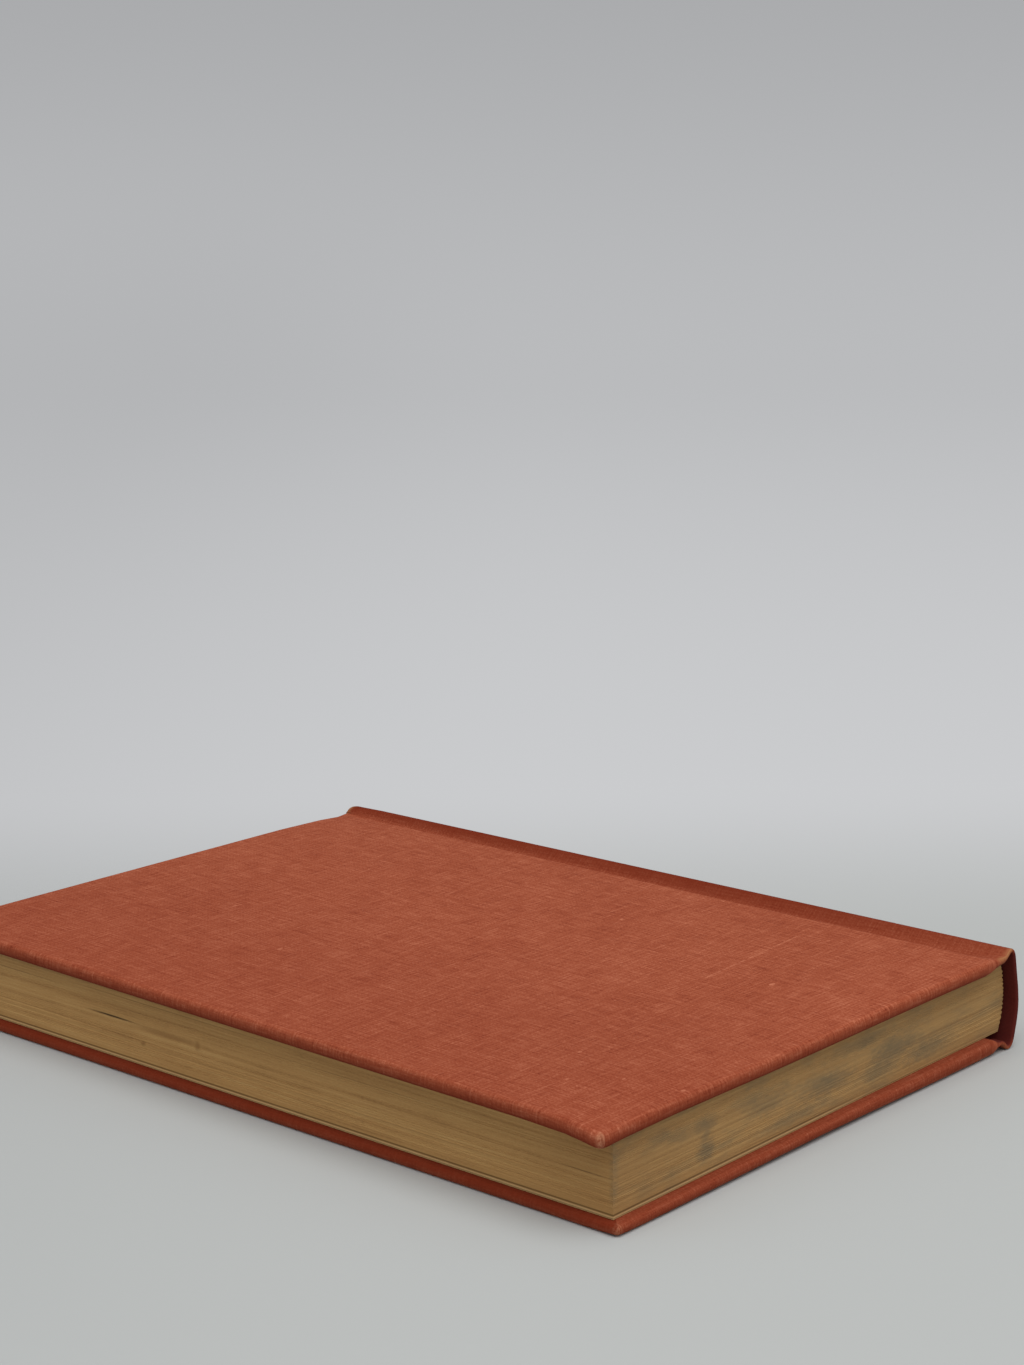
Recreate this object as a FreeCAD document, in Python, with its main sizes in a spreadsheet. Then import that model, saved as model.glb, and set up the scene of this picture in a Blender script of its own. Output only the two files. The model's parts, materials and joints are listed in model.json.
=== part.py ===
import FreeCAD, Part
import Sketcher
import math
import os
from FreeCAD import Vector

# A case-bound hardback book lying closed on its back cover, in millimetres.
# +X runs from the spine to the fore-edge, +Y from the tail to the head, +Z up from the table.
# Sections are drawn in the XZ plane. "Out" is the distance from the block's shoulder line,
# where its rounded back begins, toward the fore-edge.

doc = FreeCAD.newDocument("hardback_book")
sizes = doc.addObject("Spreadsheet::Sheet", "sizes")

# Driving dimensions: alias, value, note
driving = [
    ("board_height", 211, "bare board, head to tail"),
    ("board_width", 135.4, "bare board, spine edge to fore-edge"),
    ("board_thickness", 1.8, "grey board"),
    ("cloth_thickness", 0.3, "book cloth"),
    ("turn_in", 15, "cloth folded over onto the inner side"),
    ("edge_round", 0.5, "rounding of the cloth over a board's edge"),
    ("corner_round", 1.2, "rounding of a cover's outer corner, seen from above"),
    ("paper_thickness", 0.12, "endpaper"),
    ("pastedown_margin", 2.5, "cloth left bare round a pastedown"),
    ("end_square", 2.8, "covers stand out past the leaves at head and tail"),
    ("fore_square", 2, "back cover stands out past the leaves at the fore-edge"),
    ("block_thickness", 18, "all leaves, at the fore-edge"),
    ("back_round", 1.4, "rise of the block's rounded back"),
    ("back_slope", 0.6, "degrees, the back cover rises toward the spine"),
    ("front_slope", 0.2, "degrees, the front cover rises toward the spine"),
    ("front_skew", 0.8, "degrees, the front board sits askew in its cloth"),
    ("front_joint", 8.4, "shoulder to the front board's spine edge, at mid height"),
    ("back_joint", 6.1, "shoulder to the back board's spine edge"),
    ("hinge_out", 0.4, "hinge lines lie this far out from the shoulder"),
    ("swing_clearance", 0.35, "room between a joint strip and a swinging board"),
    ("mull_thickness", 0.3, "open-weave lining glued to the block's back"),
    ("mull_inset", 12, "the mull stops short of the head and the tail"),
    ("lining_thickness", 0.2, "paper lining over the mull"),
    ("lining_inset", 3, "the paper lining stops short of the head and the tail"),
    ("glue_film", 0.05, "glue under each lining"),
    ("hollow_depth", 1.5, "air between the lining and the spine"),
    ("inlay_thickness", 0.6, "card that stiffens the spine"),
    ("spine_bow", 1.9, "rise of the spine between its two ridges"),
    ("ridge_proud", 0.45, "front ridge above the front board"),
    ("ridge_drop", 1.9, "from a ridge's crest to the start of the bow"),
    ("ridge_crest_in", 0.6, "a ridge's crest, back from the shoulder"),
    ("ridge_foot_out", 0.9, "where a ridge starts to fall to its joint"),
    ("ridge_foot_drop", 0.8, "crest to that point"),
    ("front_groove_out", 3.2, "foot of the front groove"),
    ("back_groove_out", 2.2, "foot of the back groove"),
    ("back_groove_lift", 1.8, "back groove above the table"),
    ("thread_width", 0.8, "a row of sewing stitches across the back"),
    ("thread_depth", 0.4, "depth of the stitches in the folds"),
    ("thread_stations", 5, "rows of stitches"),
    ("thread_end", 14, "outer rows, from the head and the tail of the block"),
]

# What follows from them, worked out by the sheet
derived = [
    ("cover_height", "=board_height + 2 * cloth_thickness"),
    ("cover_thickness", "=board_thickness + 2 * cloth_thickness"),
    ("back_fore_out", "=back_joint + board_width + cloth_thickness"),
    ("block_height", "=cover_height - 2 * end_square"),
    ("block_width", "=back_fore_out - fore_square"),
    ("front_middle_out", "=front_joint + board_width / 2"),
    ("front_reach", "=(board_width / 2 + cloth_thickness) * cos(front_skew)"
                    " + cover_height / 2 * sin(front_skew)"),
    ("reach_out", "=max(front_middle_out + front_reach; back_fore_out)"),
    ("lining_start", "=mull_thickness + 2 * glue_film"),
    ("spine_in", "=back_round + lining_start + lining_thickness + hollow_depth"
                 " + inlay_thickness + 2 * cloth_thickness"),
    ("shoulder_x", "=(spine_in - reach_out) / 2"),
    ("block_fore_x", "=shoulder_x + block_width"),
    ("hinge_x", "=shoulder_x + hinge_out"),
    ("block_bottom_fore", "=(cover_thickness + 2 * paper_thickness) / cos(back_slope)"
                          " + fore_square * tan(back_slope)"),
    ("block_bottom_spine", "=block_bottom_fore + block_width * tan(back_slope)"),
    ("block_top_fore", "=block_bottom_fore + block_thickness"),
    ("block_top_spine", "=block_top_fore + block_width * tan(front_slope)"),
    ("block_back_span", "=block_top_spine - block_bottom_spine"),
    ("block_back_radius", "=(block_back_span ^ 2 / 4 + back_round ^ 2) / (2 * back_round)"),
    ("back_hinge_z", "=block_bottom_spine - paper_thickness / cos(back_slope)"
                     " - hinge_out * tan(back_slope)"),
    ("front_hinge_z", "=block_top_spine + paper_thickness / cos(front_slope)"
                      " - hinge_out * tan(front_slope)"),
    ("front_inner_z", "=block_top_spine + 2 * paper_thickness / cos(front_slope)"
                      " - front_middle_out * tan(front_slope)"),
    ("back_inner_z", "=block_bottom_spine - 2 * paper_thickness / cos(back_slope)"
                     " - (back_joint + board_width / 2) * tan(back_slope)"),
    ("crest_z", "=front_inner_z + (board_width / 2) * tan(front_slope) + cover_thickness + ridge_proud"),
    ("front_groove_z", "=front_hinge_z + cloth_thickness + swing_clearance / 2"),
    ("spine_corner_in", "=spine_in - spine_bow"),
    ("bow_span", "=crest_z - 2 * ridge_drop"),
    ("bow_radius", "=(bow_span ^ 2 / 4 + spine_bow ^ 2) / (2 * spine_bow)"),
    ("back_strip_out", "=hinge_out + sqrt((back_joint - hinge_out - swing_clearance) ^ 2"
                       " - (back_hinge_z - back_groove_lift) ^ 2)"),
]


def fillSheet():
    # the first rows hold the plain numbers, the rows below them what follows from them
    row = 1
    for alias, value, note in driving:
        sizes.set("A%d" % row, note)
        sizes.set("B%d" % row, str(value))
        sizes.setAlias("B%d" % row, alias)
        row += 1
    for alias, formula in derived:
        sizes.set("B%d" % row, formula)
        sizes.setAlias("B%d" % row, alias)
        row += 1
    doc.recompute()


fillSheet()

# Where the covers lie: seen from its own middle, a cover's inner face is z = 0 and +z is outward
frontPlace = ("placement(vector(sizes.shoulder_x + sizes.front_middle_out; 0; sizes.front_inner_z);"
              " rotation(vector(0; 1; 0); sizes.front_slope)"
              " * rotation(vector(0; 0; 1); -sizes.front_skew))")
backPlace = ("placement(vector(sizes.shoulder_x + sizes.back_joint + sizes.board_width / 2; 0;"
             " sizes.back_inner_z);"
             " rotation(vector(0; 1; 0); sizes.back_slope)"
             " * rotation(vector(1; 0; 0); 180))")


def newBody(label):
    body = doc.addObject("PartDesign::Body", label)
    body.Label = label
    return body


def originPlane(body, role):
    return [f for f in body.Origin.OriginFeatures if f.Role == role][0]


def newSketch(body, name, role, height=None):
    # a sketch on one of the body's own planes, lifted off it by an expression if one is given
    sketch = body.newObject("Sketcher::SketchObject", body.Name + "_" + name)
    sketch.AttachmentSupport = [(originPlane(body, role), "")]
    sketch.MapMode = "FlatFace"
    if height:
        sketch.setExpression("AttachmentOffset.Base.z", height)
    return sketch


def pinCorner(sketch, edge, end, across, upward):
    # hold one end of an edge at a place that is worked out from the sheet
    for kind, formula in (("DistanceX", across), ("DistanceY", upward)):
        value = sketch.evalExpression(formula)
        index = sketch.addConstraint(Sketcher.Constraint(kind, -1, 1, edge, end, value))
        sketch.setExpression("Constraints[%d]" % index, formula)


def drawOutline(sketch, corners, closingRadius=None):
    # a closed outline through the corners, each a pair of expressions;
    # its last side is an arc if a radius is given
    places = [Vector(sketch.evalExpression(a), sketch.evalExpression(b), 0) for a, b in corners]
    count = len(places)
    for i in range(count - 1):
        sketch.addGeometry(Part.LineSegment(places[i], places[i + 1]))
    if closingRadius:
        radius = sketch.evalExpression(closingRadius)
        chord = places[0] - places[-1]
        half = chord.Length / 2
        outward = Vector(chord.y, -chord.x, 0).normalize()
        rise = radius - math.sqrt(radius ** 2 - half ** 2)
        crown = (places[0] + places[-1]) * 0.5 + outward * rise
        sketch.addGeometry(Part.Arc(places[-1], crown, places[0]))
        arc = sketch.Geometry[count - 1]
        startsLast = arc.StartPoint.distanceToPoint(places[-1]) < arc.StartPoint.distanceToPoint(places[0])
        ends = (1, 2) if startsLast else (2, 1)
    else:
        sketch.addGeometry(Part.LineSegment(places[-1], places[0]))
        ends = (1, 2)
    for i in range(count - 2):
        sketch.addConstraint(Sketcher.Constraint("Coincident", i, 2, i + 1, 1))
    sketch.addConstraint(Sketcher.Constraint("Coincident", count - 2, 2, count - 1, ends[0]))
    sketch.addConstraint(Sketcher.Constraint("Coincident", count - 1, ends[1], 0, 1))
    for i in range(count - 1):
        pinCorner(sketch, i, 1, *corners[i])
    pinCorner(sketch, count - 2, 2, *corners[-1])
    if closingRadius:
        index = sketch.addConstraint(Sketcher.Constraint("Radius", count - 1, radius))
        sketch.setExpression("Constraints[%d]" % index, closingRadius)


def rectangle(left, right, low, high):
    return [(left, low), (right, low), (right, high), (left, high)]


def pad(body, sketch, length, middle=False):
    feature = body.newObject("PartDesign::Pad", sketch.Name + "_pad")
    feature.Profile = sketch
    if middle:
        feature.SideType = "Symmetric"
    feature.setExpression("Length", length)
    doc.recompute()
    return feature


def pocket(body, sketch, length):
    # a cut that runs from the sketch toward +z of its plane
    before = body.Shape.Volume
    feature = body.newObject("PartDesign::Pocket", sketch.Name + "_pocket")
    feature.Profile = sketch
    feature.Reversed = True
    feature.setExpression("Length", length)
    doc.recompute()
    if body.Shape.Volume > before - 1e-6:
        raise RuntimeError(feature.Name + " cut nothing")
    return feature


def alongY(face, low, high):
    moved = face.copy()
    moved.translate(Vector(0, low, 0))
    return moved.extrude(Vector(0, high - low, 0))


def arcBand(centre, radius, thickness, halfSpan):
    # the section of a thin curved layer: between two arcs about one centre, bulging toward -X,
    # and cut off level at the half span above and below the centre
    def at(r, side):
        return centre + Vector(-math.sqrt(r ** 2 - halfSpan ** 2), 0, side * halfSpan)

    inner, outer = radius, radius + thickness
    return Part.Face(Part.Wire([
        Part.Arc(at(outer, -1), centre + Vector(-outer, 0, 0), at(outer, 1)).toShape(),
        Part.LineSegment(at(outer, 1), at(inner, 1)).toShape(),
        Part.Arc(at(inner, 1), centre + Vector(-inner, 0, 0), at(inner, -1)).toShape(),
        Part.LineSegment(at(inner, -1), at(outer, -1)).toShape(),
    ]))


def addShape(label, shape):
    thing = doc.addObject("Part::Feature", label)
    thing.Label = label
    thing.Shape = shape
    return thing


# Text block: the sewn sections, one solid, a little thinner at the spine, with a rounded back

def blockSection():
    body = newBody("block_blank")
    sketch = newSketch(body, "section", "XZ_Plane")
    drawOutline(sketch, [
        ("sizes.shoulder_x", "sizes.block_bottom_spine"),
        ("sizes.block_fore_x", "sizes.block_bottom_fore"),
        ("sizes.block_fore_x", "sizes.block_top_fore"),
        ("sizes.shoulder_x", "sizes.block_top_spine"),
    ], "sizes.block_back_radius")
    pad(body, sketch, "sizes.block_height", middle=True)
    return body


def backCentre():
    # centre of the arc of the block's rounded back
    return Vector(sizes.shoulder_x - sizes.back_round + sizes.block_back_radius, 0,
                  (sizes.block_top_spine + sizes.block_bottom_spine) / 2)


def sewingThread():
    # rows of chain stitches that cross the folds of the sections and lie flush in them
    reach = sizes.block_back_span / 2 - sizes.thread_width
    band = arcBand(backCentre(), sizes.block_back_radius - sizes.thread_depth, sizes.thread_depth, reach)
    count = int(sizes.thread_stations)
    first = sizes.block_height / 2 - sizes.thread_end
    rows = []
    for i in range(count):
        middle = -first + 2 * first * i / max(count - 1, 1)
        rows.append(alongY(band, middle - sizes.thread_width / 2, middle + sizes.thread_width / 2))
    return addShape("sewing_thread", Part.makeCompound(rows))


def textBlock(blank, thread):
    block = doc.addObject("Part::Cut", "text_block")
    block.Label = "text_block"
    block.Base = blank
    block.Tool = thread
    return block


def flyleaf(label, front):
    # the free half of an endpaper, tipped to the block
    leaf = doc.addObject("Part::Box", label)
    leaf.Label = label
    slope = "sizes.front_slope" if front else "sizes.back_slope"
    leaf.setExpression("Length", "sizes.block_width / cos(%s)" % slope)
    leaf.setExpression("Width", "sizes.block_height")
    leaf.setExpression("Height", "sizes.paper_thickness")
    if front:
        corner = "vector(sizes.shoulder_x; -sizes.block_height / 2; sizes.block_top_spine)"
    else:
        corner = ("vector(sizes.shoulder_x - sizes.paper_thickness * sin(sizes.back_slope);"
                  " -sizes.block_height / 2;"
                  " sizes.block_bottom_spine - sizes.paper_thickness * cos(sizes.back_slope))")
    leaf.setExpression("Placement", "placement(%s; rotation(vector(0; 1; 0); %s))" % (corner, slope))
    return leaf


def backLayer(label, startsAt, thickness, inset):
    # a lining on the block's rounded back, from this depth outward
    band = arcBand(backCentre(), sizes.block_back_radius + startsAt, thickness, sizes.block_back_span / 2)
    half = sizes.block_height / 2 - inset
    return addShape(label, alongY(band, -half, half))


# Case: two covers of board and cloth, and the spine between them

def board(label, place):
    body = newBody(label)
    sketch = newSketch(body, "outline", "XY_Plane", "sizes.cloth_thickness")
    drawOutline(sketch, rectangle("-sizes.board_width / 2", "sizes.board_width / 2",
                                  "-sizes.board_height / 2", "sizes.board_height / 2"))
    pad(body, sketch, "sizes.board_thickness")
    body.setExpression("Placement", place)
    return body


def roundEdges(body, base, picks, radius, name):
    # fillet the edges of the last feature whose middles the test picks
    names = []
    for i, edge in enumerate(base.Shape.Edges):
        if picks(edge.BoundBox.Center, edge.BoundBox):
            names.append("Edge%d" % (i + 1))
    fillet = body.newObject("PartDesign::Fillet", body.Name + name)
    fillet.Base = (base, names)
    fillet.setExpression("Radius", radius)
    doc.recompute()
    return fillet


def coverCloth(label, place):
    # the cloth over one board: its outer face, three edges and three turn-ins, open at the spine
    body = newBody(label)
    outline = newSketch(body, "outline", "XY_Plane")
    foreEdge = "sizes.board_width / 2 + sizes.cloth_thickness"
    drawOutline(outline, rectangle("-sizes.board_width / 2", foreEdge,
                                   "-sizes.cover_height / 2", "sizes.cover_height / 2"))
    wrapped = pad(body, outline, "sizes.cover_thickness")
    right = sizes.board_width / 2 + sizes.cloth_thickness
    top, bottom = sizes.cover_thickness, 0
    half = sizes.cover_height / 2
    near = 1e-4

    def isCorner(c, b):
        return abs(c.x - right) < near and abs(abs(c.y) - half) < near

    def isRim(c, b):
        level = b.ZLength < near and (abs(c.z - top) < near or abs(c.z - bottom) < near)
        onSpineEdge = b.XLength < near and abs(c.x + sizes.board_width / 2) < near
        return level and not onSpineEdge

    rounded = roundEdges(body, wrapped, isCorner, "sizes.corner_round", "_corners")
    roundEdges(body, rounded, isRim, "sizes.edge_round", "_rim")
    slot = newSketch(body, "slot", "YZ_Plane", "-sizes.board_width / 2")
    drawOutline(slot, rectangle("-sizes.board_height / 2", "sizes.board_height / 2",
                                "sizes.cloth_thickness", "sizes.cloth_thickness + sizes.board_thickness"))
    pocket(body, slot, "sizes.board_width")
    window = newSketch(body, "window", "XY_Plane")
    drawOutline(window, rectangle("-sizes.board_width / 2", "sizes.board_width / 2 - sizes.turn_in",
                                  "-sizes.board_height / 2 + sizes.turn_in",
                                  "sizes.board_height / 2 - sizes.turn_in"))
    pocket(body, window, "sizes.cloth_thickness")
    body.setExpression("Placement", place)
    return body


def pastedown(label, place):
    # the pasted half of an endpaper: it lies on the turn-ins and, inside them, on the board
    body = newBody(label)
    halfHeight = "(sizes.cover_height / 2 - sizes.pastedown_margin)"
    windowHalf = "(sizes.board_height / 2 - sizes.turn_in)"
    left = "-sizes.board_width / 2"
    right = "sizes.board_width / 2 + sizes.cloth_thickness - sizes.pastedown_margin"
    turnIn = "sizes.board_width / 2 - sizes.turn_in"
    sheet = newSketch(body, "sheet", "XY_Plane", "-sizes.paper_thickness")
    drawOutline(sheet, rectangle(left, right, "-" + halfHeight, halfHeight))
    pad(body, sheet, "sizes.paper_thickness")
    step = newSketch(body, "step", "XY_Plane", "-sizes.paper_thickness")
    drawOutline(step, rectangle(left, turnIn, "-" + windowHalf, windowHalf))
    pad(body, step, "sizes.paper_thickness + sizes.cloth_thickness")
    dip = newSketch(body, "dip", "XY_Plane", "-sizes.paper_thickness")
    drawOutline(dip, rectangle(left, turnIn + " - sizes.paper_thickness",
                               "-%s + sizes.paper_thickness" % windowHalf,
                               "%s - sizes.paper_thickness" % windowHalf))
    pocket(body, dip, "sizes.cloth_thickness")
    body.setExpression("Placement", place)
    return body


def sectionPoint(out, z):
    return Vector(sizes.shoulder_x + out, 0, z)


def spineWire():
    # the outer line of the cloth from the front joint over both ridges to the back joint
    crest, drop = sizes.crest_z, sizes.ridge_drop
    # the front strip runs on past the board's edge; a cut along the skewed board trims it
    frontEnd = sectionPoint(sizes.front_middle_out, sizes.front_groove_z)
    frontFoot = sectionPoint(sizes.front_groove_out, sizes.front_groove_z)
    frontFlank = sectionPoint(sizes.ridge_foot_out, crest - sizes.ridge_foot_drop)
    frontCrest = sectionPoint(-sizes.ridge_crest_in, crest)
    frontCorner = sectionPoint(-sizes.spine_corner_in, crest - drop)
    crown = sectionPoint(-sizes.spine_in, crest / 2)
    backCorner = sectionPoint(-sizes.spine_corner_in, drop)
    backCrest = sectionPoint(-sizes.ridge_crest_in, 0)
    backFlank = sectionPoint(sizes.ridge_foot_out, sizes.ridge_foot_drop)
    backFoot = sectionPoint(sizes.back_groove_out, sizes.back_groove_lift)
    backEnd = sectionPoint(sizes.back_strip_out, sizes.back_groove_lift)
    return Part.Wire([
        Part.LineSegment(frontEnd, frontFoot).toShape(),
        Part.LineSegment(frontFoot, frontFlank).toShape(),
        Part.Arc(frontFlank, frontCrest, frontCorner).toShape(),
        Part.Arc(frontCorner, crown, backCorner).toShape(),
        Part.Arc(backCorner, backCrest, backFlank).toShape(),
        Part.LineSegment(backFlank, backFoot).toShape(),
        Part.LineSegment(backFoot, backEnd).toShape(),
    ])


def bowCentre():
    return Vector(sizes.shoulder_x - sizes.spine_in + sizes.bow_radius, 0, sizes.crest_z / 2)


def spineCloth(frontBoard):
    # outer skin, folded in over the card at head and tail
    half = sizes.cover_height / 2
    skin = alongY(spineWire().makeOffset2D(sizes.cloth_thickness, join=0, fill=True, openResult=True),
                  -half, half)
    beyondBoard = Part.makeBox(sizes.board_width * 2, sizes.cover_height * 2, sizes.crest_z * 4,
                               Vector(-sizes.board_width / 2 - sizes.swing_clearance,
                                      -sizes.cover_height, -sizes.crest_z / 8))
    beyondBoard.Placement = frontBoard.Placement
    skin = skin.cut(beyondBoard)
    span = sizes.bow_span / 2
    innerSkin = sizes.bow_radius - 2 * sizes.cloth_thickness - sizes.inlay_thickness
    fold = arcBand(bowCentre(), innerSkin, sizes.inlay_thickness + 2 * sizes.cloth_thickness, span)
    tuck = arcBand(bowCentre(), innerSkin, sizes.cloth_thickness, span)
    pieces = []
    for end in (-1, 1):
        ends = sorted((end * half, end * (half - sizes.cloth_thickness)))
        pieces.append(alongY(fold, *ends))
        ends = sorted((end * half, end * (half - sizes.turn_in)))
        pieces.append(alongY(tuck, *ends))
    return addShape("spine_cloth", skin.multiFuse(pieces).removeSplitter())


def spineInlay():
    # the card strip between the cloth's outer skin and its turn-ins
    outer = sizes.bow_radius - sizes.cloth_thickness
    half = sizes.cover_height / 2 - sizes.cloth_thickness
    band = arcBand(bowCentre(), outer - sizes.inlay_thickness, sizes.inlay_thickness, sizes.bow_span / 2)
    return addShape("spine_inlay", alongY(band, -half, half))


def writeParts(parts):
    doc.recompute()
    for thing in doc.Objects:
        if "Invalid" in thing.State or "Error" in thing.State:
            raise RuntimeError(thing.Name + " failed: " + str(thing.State))
    for thing in parts:
        if thing.Shape.isNull() or not thing.Shape.isValid():
            raise RuntimeError(thing.Label + " has no valid shape")
    os.makedirs("parts", exist_ok=True)
    for thing in parts:
        thing.Shape.exportStep("parts/%s.step" % thing.Label)
        print(thing.Label, len(thing.Shape.Solids), "solid, volume", round(thing.Shape.Volume, 1))


blank = blockSection()
thread = sewingThread()
block = textBlock(blank, thread)
frontBoard = board("front_board", frontPlace)
doc.recompute()
parts = [
    block,
    thread,
    flyleaf("front_flyleaf", True),
    flyleaf("back_flyleaf", False),
    backLayer("spine_mull", sizes.glue_film, sizes.mull_thickness, sizes.mull_inset),
    backLayer("spine_lining_paper", sizes.lining_start, sizes.lining_thickness, sizes.lining_inset),
    frontBoard,
    board("back_board", backPlace),
    coverCloth("front_cover_cloth", frontPlace),
    coverCloth("back_cover_cloth", backPlace),
    pastedown("front_pastedown", frontPlace),
    pastedown("back_pastedown", backPlace),
    spineCloth(frontBoard),
    spineInlay(),
]
writeParts(parts)
for alias in ("shoulder_x", "hinge_x", "front_hinge_z", "back_hinge_z", "crest_z", "back_strip_out"):
    print(alias, round(sizes.get(alias), 4))
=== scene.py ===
import bpy
import bmesh
import json
import math
import random
from mathutils import Matrix, Vector
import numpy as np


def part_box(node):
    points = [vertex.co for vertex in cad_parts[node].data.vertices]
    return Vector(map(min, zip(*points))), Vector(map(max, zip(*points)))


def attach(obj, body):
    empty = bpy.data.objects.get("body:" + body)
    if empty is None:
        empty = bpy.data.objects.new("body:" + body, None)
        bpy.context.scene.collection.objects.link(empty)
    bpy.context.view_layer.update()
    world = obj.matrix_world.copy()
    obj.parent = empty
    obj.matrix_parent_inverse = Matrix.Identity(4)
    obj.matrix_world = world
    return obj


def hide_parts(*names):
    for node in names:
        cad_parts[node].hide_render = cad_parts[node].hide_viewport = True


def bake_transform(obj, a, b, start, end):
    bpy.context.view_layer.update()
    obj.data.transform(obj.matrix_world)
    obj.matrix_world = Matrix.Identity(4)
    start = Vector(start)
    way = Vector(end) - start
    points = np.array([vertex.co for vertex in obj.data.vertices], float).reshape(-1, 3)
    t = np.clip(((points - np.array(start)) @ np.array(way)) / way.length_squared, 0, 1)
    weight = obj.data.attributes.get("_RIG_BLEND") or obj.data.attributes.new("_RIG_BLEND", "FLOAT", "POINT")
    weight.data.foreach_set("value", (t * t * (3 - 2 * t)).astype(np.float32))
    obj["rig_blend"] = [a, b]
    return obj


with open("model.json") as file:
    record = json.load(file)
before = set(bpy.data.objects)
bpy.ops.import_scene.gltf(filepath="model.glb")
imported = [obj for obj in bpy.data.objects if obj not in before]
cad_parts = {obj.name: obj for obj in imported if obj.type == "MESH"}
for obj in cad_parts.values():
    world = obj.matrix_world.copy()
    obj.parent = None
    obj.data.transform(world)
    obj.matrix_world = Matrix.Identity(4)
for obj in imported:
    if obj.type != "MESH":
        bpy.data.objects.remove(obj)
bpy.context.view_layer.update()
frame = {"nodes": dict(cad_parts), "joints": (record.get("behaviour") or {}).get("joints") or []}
mm = 0.001  # the scene is in metres, the values below in millimetres

# A closed hardback book: +X from the spine to the fore-edge, +Y from the tail to the head


def colour(red, green, blue):
    # a colour as a screen shows it, 0 to 255, turned into the shader's own numbers
    parts = []
    for part in (red, green, blue):
        part /= 255
        parts.append(part / 12.92 if part <= 0.04045 else ((part + 0.055) / 1.055) ** 2.4)
    return (*parts, 1)


class Wire:
    # one socket in a material, used in plain sums
    def __init__(self, finish, socket):
        self.finish = finish
        self.socket = socket

    def __rsub__(self, other):
        return self.finish.math("SUBTRACT", other, self)

    def rise(self, low, high):
        # 0 below low, 1 above high, smooth in between; low may be the larger one
        flip = low > high
        settings = {"interpolation_type": "SMOOTHSTEP"}
        ends = {"Value": self, "From Min": min(low, high), "From Max": max(low, high)}
        step = Wire(self.finish, self.finish.node("ShaderNodeMapRange", settings, ends).outputs[0])
        return 1 - step if flip else step


def mathMethod(operation):
    return lambda self, *others: self.finish.math(operation, self, *others)


# the other sums a wire can do, each with the operation of the node that it adds
for method, operation in {
        "__add__": "ADD", "__radd__": "ADD", "__sub__": "SUBTRACT", "__mul__": "MULTIPLY",
        "__rmul__": "MULTIPLY", "__truediv__": "DIVIDE", "__pow__": "POWER", "abs": "ABSOLUTE",
        "floor": "FLOOR", "cos": "COSINE", "atLeast": "MAXIMUM", "atMost": "MINIMUM"}.items():
    setattr(Wire, method, mathMethod(operation))


class Finish:
    # a material under construction
    def __init__(self, name):
        self.material = bpy.data.materials.new(name)
        self.material.use_nodes = True
        self.tree = self.material.node_tree
        self.tree.nodes.clear()

    def node(self, kind, settings=None, inputs=None):
        made = self.tree.nodes.new(kind)
        for key, value in (settings or {}).items():
            setattr(made, key, value)
        for key, value in (inputs or {}).items():
            socket = made.inputs[key]
            if isinstance(value, Wire):
                self.tree.links.new(value.socket, socket)
            else:
                socket.default_value = value
        return made

    def math(self, operation, *values):
        made = self.node("ShaderNodeMath", {"operation": operation}, dict(enumerate(values)))
        return Wire(self, made.outputs[0])

    def mix(self, factor, first, second):
        made = self.node("ShaderNodeMix", {"data_type": "RGBA"}, {0: factor, 6: first, 7: second})
        return Wire(self, made.outputs[2])

    def vector(self, x, y, z):
        return Wire(self, self.node("ShaderNodeCombineXYZ", None, {0: x, 1: y, 2: z}).outputs[0])

    def split(self, vector):
        made = self.node("ShaderNodeSeparateXYZ", None, {0: vector})
        return [Wire(self, socket) for socket in made.outputs]

    def uv(self, layer):
        made = self.node("ShaderNodeUVMap", {"uv_map": layer})
        return self.split(Wire(self, made.outputs[0]))[:2]

    def place(self):
        # where a point is in the CAD frame, in millimetres
        made = self.node("ShaderNodeTexCoord")
        scaled = self.node("ShaderNodeVectorMath", {"operation": "SCALE"},
                           {0: Wire(self, made.outputs["Object"]), 3: 1 / mm})
        return self.split(Wire(self, scaled.outputs[0]))

    def noise(self, x, y, z, detail, roughness):
        # 3-D noise, about 0 to 1; the sums on x and y set its grain, a plain z its pattern
        made = self.node("ShaderNodeTexNoise", {"noise_dimensions": "3D"},
                         {"Vector": self.vector(x, y, z), "Scale": 1.0, "Detail": detail,
                          "Roughness": roughness})
        return Wire(self, made.outputs[0])

    def bump(self, height, strength, distance):
        made = self.node("ShaderNodeBump", None,
                         {"Strength": strength, "Distance": distance, "Height": height})
        return Wire(self, made.outputs[0])

    def surface(self, **sockets):
        named = {key.replace("_", " "): value for key, value in sockets.items()}
        shader = self.node("ShaderNodeBsdfPrincipled", None, named)
        self.close(shader)
        return self.material

    def close(self, shader):
        end = self.node("ShaderNodeOutputMaterial")
        self.tree.links.new(shader.outputs[0], end.inputs[0])


def dress(piece, material):
    piece.data.materials.clear()
    piece.data.materials.append(material)


# Finishes

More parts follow.
